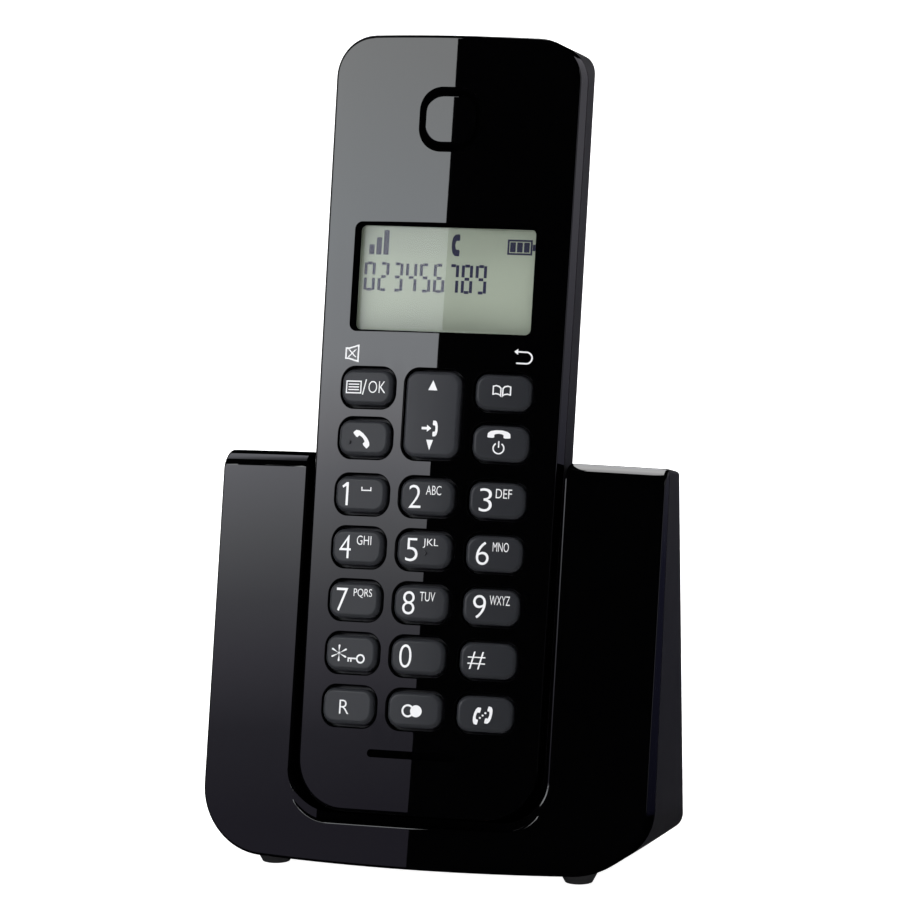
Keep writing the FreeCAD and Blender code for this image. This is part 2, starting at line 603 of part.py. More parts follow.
FRONT_FEET = {"foot_a": ("- foot_x", "foot_front"), "foot_b": ("foot_x", "foot_front")}
FEET = dict(FRONT_FEET, foot_c=("- foot_x + 2", "foot_rear"), foot_d=("foot_x - 2", "foot_rear"))
bs_posts = []
boss_rooms = []
bs_pilots = []
bs_heads = []
bs_screws = []
for foot, (fx, fy) in FRONT_FEET.items():
    bs_posts.append(rod(foot + "_post", "2.8", "34", fx, fy, "9.2"))
    boss_rooms.append(rod(foot + "_boss_room", "4.6", "6.0", fx, fy, "bs_floor"))
    bs_pilots.append(rod(foot + "_pilot", "1.35", "12", fx, fy, "8"))
    bs_heads.append(rod(foot + "_shank_hole", "1.6", "20", fx, fy, "0"))
    bs_heads.append(rod(foot + "_head_hole", "3.0", "6.2", fx, fy, "0"))
    shank = rod(foot + "_shank", "1.2", "12", fx, fy, "6.0")
    head = rod(foot + "_head", "2.7", "1.8", fx, fy, "4.3")
    bar_1 = box(foot + "_bar_1", "%s - 1.6" % fx, "%s - 0.3" % fy, "4.0", "3.2", "0.6", "1.2")
    bar_2 = box(foot + "_bar_2", "%s - 0.3" % fx, "%s - 1.6" % fy, "4.0", "0.6", "3.2", "1.2")
    bs_screws.append(cut(foot + "_screw", fuse(foot + "_bolt", shank, head), bar_1, bar_2))

pin_holes = []
pins = {}
for side, px in (("left", "- pin_x"), ("right", "pin_x")):
    hole = rod("pin_hole_" + side, "1.6", "6", px, "pin_y", "-5")
    hole.Placement = LEAN.multiply(hole.Placement)
    at(hole, px, "pin_y * cos( lean_deg ) - 5 * sin( lean_deg )",
       "seat_z - pin_y * sin( lean_deg ) - 5 * cos( lean_deg )")
    pin_holes.append(hole)
    stem = rod("pin_stem_" + side, "1.2", "4.7", px, "pin_y", "-4.85")
    tip_edge = -0.15
    tip = round_edges("pin_tip_" + side, stem, 0.5,
                      lambda edge: abs(middle(edge).z - tip_edge) < 1e-3)
    collar = rod("pin_collar_" + side, "2.0", "0.6", px, "pin_y", "-2.6")
    pins[side] = fuse("pin_" + side, tip, collar)

posts_in_base = common("posts_in_base", fuse("bs_posts", *bs_posts), bs_outer)
front_base = fuse("front_base", front_wall, cradle, posts_in_base)
front_base_cut = cut("front_base_cut", front_base, slot_open, plate_gap,
                     *(bs_pilots + pin_holes + boss_rooms))


def on_slot_rim(edge):
    return on_face_rim(edge) and abs(middle(edge).x) < 27.2 and middle(edge).z > 8


slot_soft = round_edges("slot_soft", front_base_cut, 0.5, on_slot_rim)
node(fuse("front_base_body", slot_soft, rests), "base_front_cover", BASE)

# ---------------------------------------------------------------- base rear cover

rear_zone_skin = cut("rear_zone_skin", bs_skin, seam_back)
plate_in = box("plate_in", "-36.9", "-20", "bs_floor", "73.8", "90", "bs_plate")
plate_crown_in = rod("plate_crown_in", "bs_crown_r - 2.3", "200", "0", "bs_face + bs_crown_r", "-60")
plate_crown_in.Placement = plate_crown.Placement
at(plate_crown_in, "0", "( bs_face + bs_crown_r ) * cos( lean_deg ) - 60 * sin( lean_deg )",
   "seat_z - ( bs_face + bs_crown_r ) * sin( lean_deg ) - 60 * cos( lean_deg )")
plate = common("plate", plate_in, plate_crown_in, bs_outer)
bay_block = box("bay_block", "29.4", "31.2", "14.4", "20", "30", "32.2")
bay_shell = common("bay_shell", bay_block, bs_outer)
bay_room = box("bay_room", "31.0", "32.8", "16.0", "13.2", "40", "29.0")
line_way = box("line_way", "31.2", "30", "17.9", "12.8", "10", "12.9")
power_way = box("power_way", "33.2", "30", "31.9", "9.4", "10", "11.4")
foot_recesses = [rod(foot + "_recess", "4.6", "bs_floor + 0.8 + 2", fx, fy, "-2")
                 for foot, (fx, fy) in FEET.items()]
bosses = [rod(foot + "_boss", "4.2", "5.4", fx, fy, "bs_floor + 0.4") for foot, (fx, fy) in FRONT_FEET.items()]
button_hole = doc.addObject("Part::Box", "button_hole_block")
bind(button_hole, Length="10", Width="6.2", Height="13.6")
at(button_hole, "-50", "25.6", "49.2")
button_way = round_edges("button_way", button_hole, 2.9, straight_along(X))
switch_rib = common("switch_rib", box("switch_rib_block", "-40.4", "24.8", "46", "1.4", "40", "20"), bs_outer)
rear_base = fuse("rear_base", rear_zone_skin, plate, bay_shell, switch_rib, *bosses)
rear_tools = [slot_clear, bay_room, line_way, power_way, button_way] + foot_recesses + bs_heads
node(cut("rear_base_cut", rear_base, *rear_tools), "base_rear_cover", BASE)

feet = []
for foot, (fx, fy) in FEET.items():
    pad = rod(foot + "_pad", "4.4", "0.75", fx, fy, "bs_floor")
    cone = doc.addObject("Part::Cone", foot + "_cone")
    bind(cone, Radius1="2.8", Radius2="4.4", Height="bs_floor")
    feet.append(fuse(foot, pad, at(cone, fx, fy, "0")))
node(group("foot_set", *feet), "base_feet", BASE)
node(group("base_screw_set", *bs_screws), "base_screws", BASE)

# ---------------------------------------------------------------- base insides

board_sheet = box("board_sheet", "29.5", "17.1", "8.0", "1.4", "13.8", "42")
node(group("board_set", board_sheet), "base_board", BASE)
line_block = box("line_block", "31.3", "17.6", "18.0", "12.6", "15.0", "12.7")
line_mouth = box("line_mouth", "32.75", "21.6", "20.2", "9.7", "20", "6.8")
line_latch = box("line_latch", "34.6", "21.6", "26.9", "6.0", "20", "2.2")
line_body = cut("line_body", line_block, line_mouth, line_latch)
line_wires = [box("line_wire_%d" % step, "%s" % wire_x, "21.0", "20.1", "0.4", "8.5", "0.5")
              for step, wire_x in enumerate(("35.85", "36.87", "37.89", "38.91"))]
node(fuse("line_unit", line_body, *line_wires), "line_socket", BASE)
power_block = box("power_block", "33.3", "19.6", "32.0", "9.2", "13.0", "11.2")
power_mouth = rod("power_mouth", "3.0", "20", "37.9", "23.2", "37.6", Y)
power_pin = rod("power_pin", "0.7", "8.0", "37.9", "22.6", "37.6", Y)
power_leg = box("power_leg", "30.95", "22.0", "35.0", "2.6", "3.0", "3.0")
node(fuse("power_unit", cut("power_body", power_block, power_mouth), power_pin, power_leg),
     "power_socket", BASE)

for side, pin in pins.items():
    node(pin, "base_contact_" + side, HANDSET)

button_face = doc.addObject("Part::Box", "button_face")
bind(button_face, Length="4.0", Width="5.6", Height="13.0")
at(button_face, "- bs_half - 0.7", "25.9", "49.5")
button_soft = round_edges("button_soft", button_face, 2.6, straight_along(X))
button_cap = round_edges("button_cap", button_soft, 0.5, lambda edge: abs(middle(edge).x + DIMS["bs_half"] + 0.7) < 1e-3)
button_lip = box("button_lip", "-43.9", "25.2", "48.6", "1.0", "7.0", "14.8")
node(fuse("button_body", button_cap, button_lip), "locator_button", BASE)
switch_case = box("switch_case", "-41.5", "25.9", "53.2", "1.05", "5.6", "5.6")
switch_stem = rod("switch_stem", "1.4", "0.3", "-41.75", "28.7", "56.0", X)
node(fuse("switch_body", switch_case, switch_stem), "locator_switch", BASE)

doc.recompute()

# ---------------------------------------------------------------- checks and files

for obj in doc.Objects:
    if "Invalid" in obj.State or "Error" in obj.State:
        raise RuntimeError("%s did not build" % obj.Label)
for obj in nodes:
    shape = obj.Shape
    if shape.isNull() or not shape.isValid() or shape.Volume <= 0:
        raise RuntimeError("%s has no valid solid" % obj.Label)
    print("%-26s solids %d volume %.1f mm3" % (obj.Label, len(shape.Solids), shape.Volume))
    shape.exportStep("parts/%s.step" % obj.Label)
whole = FreeCAD.BoundBox()
for obj in nodes:
    whole.add(obj.Shape.BoundBox)
print("nodes", len(nodes), "bounds", whole)
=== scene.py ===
import json
import math
import bpy
import bmesh
from mathutils import Matrix, Vector


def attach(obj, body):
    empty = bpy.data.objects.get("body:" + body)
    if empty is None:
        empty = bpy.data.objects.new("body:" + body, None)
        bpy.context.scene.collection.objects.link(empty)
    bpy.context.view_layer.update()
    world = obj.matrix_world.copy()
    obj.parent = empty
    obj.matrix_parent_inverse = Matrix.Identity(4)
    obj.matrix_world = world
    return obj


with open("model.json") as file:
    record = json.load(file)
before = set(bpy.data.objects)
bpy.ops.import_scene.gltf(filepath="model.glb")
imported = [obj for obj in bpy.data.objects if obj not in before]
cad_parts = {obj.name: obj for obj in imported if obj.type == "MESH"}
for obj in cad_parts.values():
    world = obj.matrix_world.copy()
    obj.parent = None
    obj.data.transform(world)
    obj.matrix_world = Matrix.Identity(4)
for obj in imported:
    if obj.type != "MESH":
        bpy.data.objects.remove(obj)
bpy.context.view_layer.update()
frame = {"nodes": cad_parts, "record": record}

scene = bpy.context.scene

# ---------------------------------------------------------------- the handset's own frame
# Millimetres: X across, Y from the front face inwards, Z along the length from the bottom end.
LEAN = math.radians(12.06)
SEAT_Z = 14.1
ORIGIN_Y = -27.1
CROWN_R = 87.0
KEY_RISE = 0.8
# the base's crowned face, as a depth at the middle and a radius, and half the cradle's width
BASE_FACE = 2.05
BASE_CROWN_R = 156.0
CRADLE_HALF = 27.5
UP = Vector((0, math.sin(LEAN), math.cos(LEAN)))
IN = Vector((0, math.cos(LEAN), -math.sin(LEAN)))
SEAT = Vector((0, ORIGIN_Y, SEAT_Z))


def spot(x, y, z):
    """A point of the handset's frame as a place in the scene, in metres."""
    return (SEAT + Vector((x, 0, 0)) + IN * y + UP * z) / 1000


def crown(x, rise=0.0, radius=CROWN_R):
    """Depth of the crowned face, or of a surface standing proud of it, at x."""
    return radius - math.sqrt((radius + rise) ** 2 - x * x)


# ---------------------------------------------------------------- camera
# Seen from a little to the right and above; the distance and the two shifts are in metres.
AZ = math.radians(16.0)
EL = math.radians(8.55)
ROLL = math.radians(0.09)
AIM = spot(0, 0, 77.61)
DISTANCE = 0.9005
SHIFT_RIGHT = 0.003676
SHIFT_UP = -0.00438
LENS = 179.82
back = Vector((math.sin(AZ) * math.cos(EL), -math.cos(AZ) * math.cos(EL), math.sin(EL)))
right = Vector((math.cos(AZ), math.sin(AZ), 0))
top = back.cross(right)
side = right * math.cos(ROLL) + top * math.sin(ROLL)
over = top * math.cos(ROLL) - right * math.sin(ROLL)
eye = AIM + back * DISTANCE + right * SHIFT_RIGHT + top * SHIFT_UP

cam_data = bpy.data.cameras.new("camera")
cam_data.lens = LENS
cam_data.sensor_width = 36.0
cam_data.clip_start = 0.05
cam_data.clip_end = 30.0
camera = bpy.data.objects.new("camera", cam_data)
scene.collection.objects.link(camera)
camera.matrix_world = Matrix((
    (side.x, over.x, back.x, eye.x),
    (side.y, over.y, back.y, eye.y),
    (side.z, over.z, back.z, eye.z),
    (0, 0, 0, 1)))
scene.camera = camera
scene.view_settings.view_transform = "Standard"

# ---------------------------------------------------------------- studio
world = bpy.data.worlds.new("studio")
scene.world = world
world.use_nodes = True
world.node_tree.nodes["Background"].inputs["Color"].default_value = (0.0, 0.0, 0.0, 1)
world.node_tree.nodes["Background"].inputs["Strength"].default_value = 0.0


def mesh_object(name, verts, faces, smooth=False):
    data = bpy.data.meshes.new(name)
    data.from_pydata([tuple(v) for v in verts], [], faces)
    data.validate()
    data.update()
    for poly in data.polygons:
        poly.use_smooth = smooth
    made = bpy.data.objects.new(name, data)
    scene.collection.objects.link(made)
    return made


def new_material(name):
    made = bpy.data.materials.new(name)
    made.use_nodes = True
    tree = made.node_tree
    return made, tree, tree.nodes["Principled BSDF"]


def glow_material(name, strength, ramp=None):
    """A light panel; ramp is (position, colour) pairs up the panel."""
    made = bpy.data.materials.new(name)
    made.use_nodes = True
    tree = made.node_tree
    tree.nodes.remove(tree.nodes["Principled BSDF"])
    emit = tree.nodes.new("ShaderNodeEmission")
    emit.inputs["Strength"].default_value = strength
    if ramp:
        coord = tree.nodes.new("ShaderNodeTexCoord")
        split = tree.nodes.new("ShaderNodeSeparateXYZ")
        curve = tree.nodes.new("ShaderNodeValToRGB")
        tree.links.new(coord.outputs["Generated"], split.inputs["Vector"])
        tree.links.new(split.outputs["Z"], curve.inputs["Fac"])
        tree.links.new(curve.outputs["Color"], emit.inputs["Color"])
        while len(curve.color_ramp.elements) < len(ramp):
            curve.color_ramp.elements.new(0.5)
        for stop, (position, colour) in zip(curve.color_ramp.elements, ramp):
            stop.position = position
            stop.color = (*colour, 1)
    tree.links.new(emit.outputs["Emission"], tree.nodes["Material Output"].inputs["Surface"])
    return made


def panel(name, azimuth, elevation, distance, width, height, material, roll=0.0, shear=0.0):
    """A flat light panel facing the object; azimuth is from the front, positive to the right.

    shear leans the right-hand edge outwards towards the top, as a share of the height."""
    az, el, turn = math.radians(azimuth), math.radians(elevation), math.radians(roll)
    toward = Vector((math.sin(az) * math.cos(el), -math.cos(az) * math.cos(el), math.sin(el)))
    level = Vector((math.cos(az), math.sin(az), 0))
    upright = toward.cross(level)
    across = level * math.cos(turn) + upright * math.sin(turn)
    rise = upright * math.cos(turn) - level * math.sin(turn)
    centre = AIM + toward * distance
    lean = shear * height / 2
    corners = [(-width / 2, 0, -height / 2), (width / 2 - lean, 0, -height / 2),
               (width / 2 + lean, 0, height / 2), (-width / 2, 0, height / 2)]
    made = mesh_object(name, corners, [(0, 1, 2, 3)])
    made.data.materials.append(material)
    made.matrix_world = Matrix((
        (across.x, -toward.x, rise.x, centre.x),
        (across.y, -toward.y, rise.y, centre.y),
        (across.z, -toward.z, rise.z, centre.z),
        (0, 0, 0, 1)))
    made.visible_camera = False
    return made


def sweep_floor(reach=3.0, flat_end=1.2, bend=0.8, steps=12):
    """A pale floor that bends up into a backdrop behind the object."""
    profile = [(-reach, 0.0), (flat_end, 0.0)]
    for step in range(1, steps + 1):
        turn = math.radians(step * 90 / steps)
        profile.append((flat_end + bend * math.sin(turn), bend - bend * math.cos(turn)))
    profile.append((flat_end + bend, reach))
    verts = []
    for y, z in profile:
        verts += [(-reach, y, z), (reach, y, z)]
    faces = [(2 * step, 2 * step + 1, 2 * step + 3, 2 * step + 2) for step in range(len(profile) - 1)]
    return mesh_object("floor", verts, faces, smooth=True)


floor = sweep_floor()
floor_mat, tree, shader = new_material("floor_white")
shader.inputs["Base Color"].default_value = (0.8, 0.8, 0.8, 1)
shader.inputs["Roughness"].default_value = 0.9
shader.inputs["Specular IOR Level"].default_value = 0.0
shader.inputs["Emission Color"].default_value = (1, 1, 1, 1)
shader.inputs["Emission Strength"].default_value = 1.0
floor.data.materials.append(floor_mat)
floor.visible_glossy = False


def round_wall(radius, low, high, steps=48):
    """A pale wall all round, seen only by the camera, so that side views have the same backdrop."""
    verts = []
    for step in range(steps):
        turn = math.tau * step / steps
        verts += [(radius * math.cos(turn), radius * math.sin(turn), z) for z in (low, high)]
    faces = [(2 * step, (2 * step + 2) % (2 * steps), (2 * step + 3) % (2 * steps), 2 * step + 1)
             for step in range(steps)]
    return mesh_object("round_wall", verts, faces, smooth=True)


wall = round_wall(2.9, -0.05, 4.0)
wall.data.materials.append(floor_mat)
wall.visible_diffuse = False
wall.visible_glossy = False
wall.visible_shadow = False

# The left panel makes the grey half of the crowned faces: its glow fades downwards, and its right-hand
# edge is the sharp line down the handset. The top light is not mirrored in anything. The cards and the
# strip stand behind and beside the object and light its rounded edges and its flanks.
soft_left = glow_material("soft_left_glow", 5.0, [
    (0.22, (0.057, 0.053, 0.072)), (0.27, (0.080, 0.077, 0.097)), (0.31, (0.155, 0.150, 0.180)),
    (0.34, (0.217, 0.217, 0.243)), (0.376, (0.355, 0.360, 0.385)), (0.41, (0.500, 0.505, 0.550)),
    (0.44, (0.690, 0.690, 0.735)), (0.475, (0.870, 0.900, 0.950)), (0.55, (0.910, 0.960, 1.0)),
    (0.645, (0.860, 0.880, 0.890))])
panel("soft_left", -38.1, 15.1, 2.0, 1.54, 1.2, soft_left, roll=7.8, shear=0.057)
top_glow = glow_material("top_glow", 5.5)
soft_top = panel("soft_top", 10, 72, 1.5, 1.2, 0.9, top_glow)
soft_top.visible_glossy = False
back_bright = glow_material("back_bright", 4.8, [
    (0.0, (0.3, 0.3, 0.31)), (0.35, (0.5, 0.5, 0.51)), (0.62, (1, 1, 1))])
panel("card_back_right", 189.5, 44, 1.6, 0.40, 1.9, back_bright)
back_dim = glow_material("back_dim", 1.3, [
    (0.0, (0.5, 0.5, 0.55)), (0.55, (0.95, 0.95, 1.05)), (0.85, (0.25, 0.25, 0.28))])
panel("card_back_left", 231, 46, 1.6, 0.70, 1.0, back_dim)
flank_glow = glow_material("flank_glow", 0.21, [
    (0.0, (0.02, 0.02, 0.05)), (0.2, (0.10, 0.10, 0.20)), (0.42, (0.94, 0.92, 1.05)),
    (1.0, (1.0, 0.97, 1.05))])
panel("card_flank", 162, 0, 1.4, 0.9, 0.9, flank_glow)
side_glow = glow_material("side_glow", 0.6, [(0.0, (0.80, 0.80, 1.0)), (1.0, (0.95, 0.95, 1.0))])
panel("card_side", 112, 8, 1.3, 0.6, 0.8, side_glow)
arc_glow = glow_material("arc_glow", 4.0)
panel("strip_arc", -106, 12, 1.5, 0.16, 0.7, arc_glow)


# ---------------------------------------------------------------- materials
def surface_detail(tree, shader, grain, depth, low, high, strength):
    """Fine bump and uneven roughness for a moulded surface.

    grain is bumps per metre, depth their height in metres, low and high the ends of the roughness."""
    coord = tree.nodes.new("ShaderNodeTexCoord")
    fine = tree.nodes.new("ShaderNodeTexNoise")
    fine.inputs["Scale"].default_value = grain
    fine.inputs["Detail"].default_value = 3.0
    bump = tree.nodes.new("ShaderNodeBump")
    bump.inputs["Strength"].default_value = strength
    bump.inputs["Distance"].default_value = depth
    smear = tree.nodes.new("ShaderNodeTexNoise")
    smear.inputs["Scale"].default_value = 35.0
    smear.inputs["Detail"].default_value = 5.0
    span = tree.nodes.new("ShaderNodeMapRange")
    span.inputs["From Min"].default_value = 0.3
    span.inputs["From Max"].default_value = 0.7
    span.inputs["To Min"].default_value = low
    span.inputs["To Max"].default_value = high
    tree.links.new(coord.outputs["Object"], fine.inputs["Vector"])
    tree.links.new(coord.outputs["Object"], smear.inputs["Vector"])
    tree.links.new(fine.outputs["Fac"], bump.inputs["Height"])
    tree.links.new(bump.outputs["Normal"], shader.inputs["Normal"])
    tree.links.new(smear.outputs["Fac"], span.inputs["Value"])
    tree.links.new(span.outputs["Result"], shader.inputs["Roughness"])
    return smear


def tinted(tree, shader, smear, dark, light):
    """Slight variation of colour over the surface."""
    mix = tree.nodes.new("ShaderNodeMix")
    mix.data_type = "RGBA"
    mix.inputs[6].default_value = (*dark, 1)
    mix.inputs[7].default_value = (*light, 1)
    tree.links.new(smear.outputs["Fac"], mix.inputs[0])
    tree.links.new(mix.outputs[2], shader.inputs["Base Color"])


def plastic(name, dark, light, grain, depth, low, high, strength, specular=0.5):
    made, tree, shader = new_material(name)
    smear = surface_detail(tree, shader, grain, depth, low, high, strength)
    tinted(tree, shader, smear, dark, light)
    shader.inputs["IOR"].default_value = 1.5
    shader.inputs["Specular IOR Level"].default_value = specular
    return made


def metal(name, dark, light, low, high):
    made, tree, shader = new_material(name)
    smear = surface_detail(tree, shader, 900.0, 0.00002, low, high, 0.2)
    tinted(tree, shader, smear, dark, light)
    shader.inputs["Metallic"].default_value = 1.0
    return made


looks = {
    "gloss_case": plastic("gloss_case", (0.0003, 0.0003, 0.0004), (0.0006, 0.0006, 0.0007),
                          420.0, 0.00002, 0.01, 0.025, 0.015),
    "satin_case": plastic("satin_case", (0.010, 0.0098, 0.0115), (0.013, 0.0125, 0.0145),
                          2600.0, 0.00003, 0.36, 0.46, 0.35, specular=0.35),
    "key_plastic": plastic("key_plastic", (0.0165, 0.0175, 0.0205), (0.0195, 0.0205, 0.0240),
                           3000.0, 0.00002, 0.36, 0.42, 0.25, specular=0.3),
    "nav_plastic": plastic("nav_plastic", (0.0200, 0.0210, 0.0245), (0.0235, 0.0244, 0.0285),
                           2400.0, 0.00002, 0.34, 0.40, 0.15, specular=0.3),
    "cap_gloss": plastic("cap_gloss", (0.0003, 0.0003, 0.0004), (0.0006, 0.0006, 0.0007),
                         500.0, 0.00002, 0.01, 0.025, 0.015),
    "lcd_carrier": plastic("lcd_carrier", (0.004, 0.004, 0.004), (0.006, 0.006, 0.006),
                           2000.0, 0.00002, 0.4, 0.5, 0.2),
    "keypad_rubber": plastic("keypad_rubber", (0.04, 0.04, 0.045), (0.05, 0.05, 0.055),
                             1500.0, 0.00003, 0.6, 0.75, 0.3),
    "circuit_board": plastic("circuit_board", (0.01, 0.07, 0.025), (0.015, 0.1, 0.035),
                             900.0, 0.00004, 0.25, 0.4, 0.3),
    "speaker_dark": plastic("speaker_dark", (0.02, 0.02, 0.02), (0.03, 0.03, 0.03),
                            1800.0, 0.00004, 0.5, 0.7, 0.4),
    "boot_rubber": plastic("boot_rubber", (0.01, 0.01, 0.01), (0.016, 0.016, 0.016),
                           1500.0, 0.00004, 0.6, 0.8, 0.4),
    "cell_wrap": plastic("cell_wrap", (0.32, 0.34, 0.37), (0.4, 0.42, 0.45),
                         900.0, 0.00001, 0.2, 0.3, 0.1),
    "socket_black": plastic("socket_black", (0.012, 0.012, 0.012), (0.017, 0.017, 0.017),
                            2200.0, 0.00003, 0.4, 0.52, 0.35),
    "foot_rubber": plastic("foot_rubber", (0.010, 0.010, 0.011), (0.015, 0.015, 0.017),
                           1800.0, 0.00005, 0.65, 0.8, 0.5, specular=0.3),
    "button_plastic": plastic("button_plastic", (0.026, 0.026, 0.03), (0.033, 0.033, 0.037),
                              2600.0, 0.00002, 0.34, 0.44, 0.25),
    "dome_steel": metal("dome_steel", (0.5, 0.5, 0.48), (0.6, 0.6, 0.58), 0.22, 0.34),
    "shield_tin": metal("shield_tin", (0.5, 0.5, 0.48), (0.58, 0.58, 0.56), 0.3, 0.45),
    "mic_metal": metal("mic_metal", (0.6, 0.6, 0.6), (0.68, 0.68, 0.68), 0.25, 0.35),
    "spring_plate": metal("spring_plate", (0.62, 0.62, 0.6), (0.7, 0.7, 0.68), 0.15, 0.25),
    "contact_gold": metal("contact_gold", (0.75, 0.52, 0.2), (0.82, 0.6, 0.26), 0.18, 0.28),
    "screw_steel": metal("screw_steel", (0.18, 0.18, 0.19), (0.26, 0.26, 0.27), 0.3, 0.42),
}

# mostly clear at its front and fully clear at its back faces, so that only the front shines
glass, tree, shader = new_material("window_clear")
surface_detail(tree, shader, 300.0, 0.00001, 0.0, 0.02, 0.01)
shader.inputs["Base Color"].default_value = (0.02, 0.02, 0.02, 1)
shader.inputs["IOR"].default_value = 2.0
shader.inputs["Transmission Weight"].default_value = 0.0
facing = tree.nodes.new("ShaderNodeNewGeometry")
clear = tree.nodes.new("ShaderNodeMapRange")
clear.inputs["To Min"].default_value = 0.22
clear.inputs["To Max"].default_value = 0.0
tree.links.new(facing.outputs["Backfacing"], clear.inputs["Value"])
tree.links.new(clear.outputs["Result"], shader.inputs["Alpha"])
looks["window_clear"] = glass

lcd, tree, shader = new_material("lcd_glass")
smear = surface_detail(tree, shader, 5200.0, 0.00001, 0.5, 0.6, 0.15)
tinted(tree, shader, smear, (0.445, 0.50, 0.40), (0.47, 0.53, 0.43))
shader.inputs["Specular IOR Level"].default_value = 0.1
looks["lcd_glass"] = lcd

white_print = plastic("white_print", (0.66, 0.66, 0.67), (0.74, 0.74, 0.75),
                      2500.0, 0.00001, 0.45, 0.55, 0.1)
lcd_ink = plastic("lcd_ink", (0.004, 0.004, 0.050), (0.007, 0.007, 0.066),
                  2500.0, 0.00001, 0.4, 0.5, 0.1)


def painted_shade_below(name, source, face_depth, radius, sunk_by, half, low, high):
    """A copy of a gloss material whose shine is taken away deeper than sunk_by under a crowned face,
    which paints shade into the recesses.

    Only within half each side of the middle and from low to high along the handset, in millimetres."""
    made = source.copy()
    made.name = name
    tree = made.node_tree

    def result(operation, first, second):
        """The output of a maths node on two values, each a number or another node's output."""
        step = tree.nodes.new("ShaderNodeMath")
        step.operation = operation
        for socket, value in zip(step.inputs, (first, second)):
            if isinstance(value, float):
                socket.default_value = value
            else:
                tree.links.new(value, socket)
        return step.outputs["Value"]

    def measured(direction):
        """The distance from the handset's origin along one of its directions."""
        dot = tree.nodes.new("ShaderNodeVectorMath")
        dot.operation = "DOT_PRODUCT"
        dot.inputs[1].default_value = direction
        tree.links.new(place, dot.inputs[0])
        return result("SUBTRACT", dot.outputs["Value"], SEAT.dot(direction) / 1000)

    place = tree.nodes.new("ShaderNodeTexCoord").outputs["Object"]
    parts = tree.nodes.new("ShaderNodeSeparateXYZ")
    tree.links.new(place, parts.inputs["Vector"])
    across = parts.outputs["X"]
    along = measured(UP)
    depth = measured(IN)
    face = result("MULTIPLY", result("MULTIPLY", across, across), 500 / radius)
    sunk = result("GREATER_THAN", result("SUBTRACT", depth, face), (face_depth + sunk_by) / 1000)
    within = result("LESS_THAN", result("ABSOLUTE", across, 0.0), half / 1000)
    for operation, limit in (("GREATER_THAN", low), ("LESS_THAN", high)):
        within = result("MULTIPLY", within, result(operation, along, limit / 1000))
    # painted shade: no shine, so near black, where the surface lies deeper than sunk_by within these
    # bounds
    open_face = result("SUBTRACT", 1.0, result("MULTIPLY", sunk, within))
    shine = result("MULTIPLY", open_face, 0.5)
    tree.links.new(shine, tree.nodes["Principled BSDF"].inputs["Specular IOR Level"])
    return made


# painted shade: the shine is taken away inside the cradle, the key wells and the recesses of the
# display and the earpiece, so that they render dark
own_look = {
    "base_front_cover": painted_shade_below("base_gloss", looks["gloss_case"], BASE_FACE, BASE_CROWN_R, 0.8,
                                   CRADLE_HALF, -20.0, 200.0),
    "handset_front_cover": painted_shade_below("handset_gloss", looks["gloss_case"], 0.0, CROWN_R, 0.25,
                                      21.5, 8.0, 148.0),
    "earpiece_cap": painted_shade_below("earpiece_gloss", looks["cap_gloss"], 0.0, CROWN_R, 0.03,
                               8.0, 100.0, 160.0)}

slot_of = {entry["node"]: entry["material_slot"] for entry in frame["record"]["subparts"]}
for name, obj in frame["nodes"].items():
    obj.data.materials.clear()
    obj.data.materials.append(own_look.get(name, looks[slot_of[name]]))

# ---------------------------------------------------------------- printed marks
# Each mark is a thin closed solid, a little proud of the surface it is printed on and a little sunk in
# it. Shapes are flat outlines in the handset's millimetres: x across, z along the length. Words are
# fitted to a box. WELD is in metres.
PROUD = 0.03
SUNK = 0.06
DOT_PROUD = 0.35
WELD = 2e-7


def flat_solid(data):
    """Corner points and faces of a filled curve or text given some thickness."""
    data.extrude = 0.5
    holder = bpy.data.objects.new("flat", data)
    scene.collection.objects.link(holder)
    bpy.context.view_layer.update()
    solid = bpy.data.meshes.new_from_object(holder.evaluated_get(bpy.context.evaluated_depsgraph_get()))
    points = [vert.co.copy() for vert in solid.vertices]
    faces = [tuple(poly.vertices) for poly in solid.polygons]
    bpy.data.objects.remove(holder)
    bpy.data.meshes.remove(solid)
    return points, faces


def words(text, left, low, right, high, thinner=0.012):
    """Text stretched to fill a box, its strokes drawn a little thinner than the font's."""
    data = bpy.data.curves.new("words", "FONT")
    data.body = text
    data.resolution_u = 5
    data.offset = -thinner
    points, faces = flat_solid(data)
    across = [p.x for p in points]
    along = [p.y for p in points]
    wide = (right - left) / (max(across) - min(across))
    tall = (high - low) / (max(along) - min(along))
    for p in points:
        p.x = left + (p.x - min(across)) * wide
        p.y = low + (p.y - min(along)) * tall
    return points, faces


def shape(*loops):
    """A filled outline; a loop inside another is a hole."""
    data = bpy.data.curves.new("outline", "CURVE")
    data.dimensions = "2D"
    data.fill_mode = "BOTH"
    for loop in loops:
        line = data.splines.new("POLY")
        line.points.add(len(loop) - 1)
        for point, (x, z) in zip(line.points, loop):
            point.co = (x, z, 0, 1)
        line.use_cyclic_u = True
    return flat_solid(data)


def bar(left, low, right, high):
    return [(left, low), (right, low), (right, high), (left, high)]


def circle(x, z, radius, steps=28):
    turns = [math.tau * step / steps for step in range(steps)]
    return [(x + radius * math.cos(t), z + radius * math.sin(t)) for t in turns]


def arc(x, z, radius, stroke, start, end, steps=20):
    """A thick arc between two angles in degrees."""
    turns = [math.radians(start + (end - start) * step / steps) for step in range(steps + 1)]
    outer = [(x + radius * math.cos(t), z + radius * math.sin(t)) for t in turns]
    inner = [(x + (radius - stroke) * math.cos(t), z + (radius - stroke) * math.sin(t)) for t in turns]
    return outer + inner[::-1]


def line(x0, z0, x1, z1, stroke):
    """A straight stroke between two points."""
    run = math.hypot(x1 - x0, z1 - z0)
    dx = -(z1 - z0) / run * stroke / 2
    dz = (x1 - x0) / run * stroke / 2
    return [(x0 + dx, z0 + dz), (x0 - dx, z0 - dz), (x1 - dx, z1 - dz), (x1 + dx, z1 + dz)]


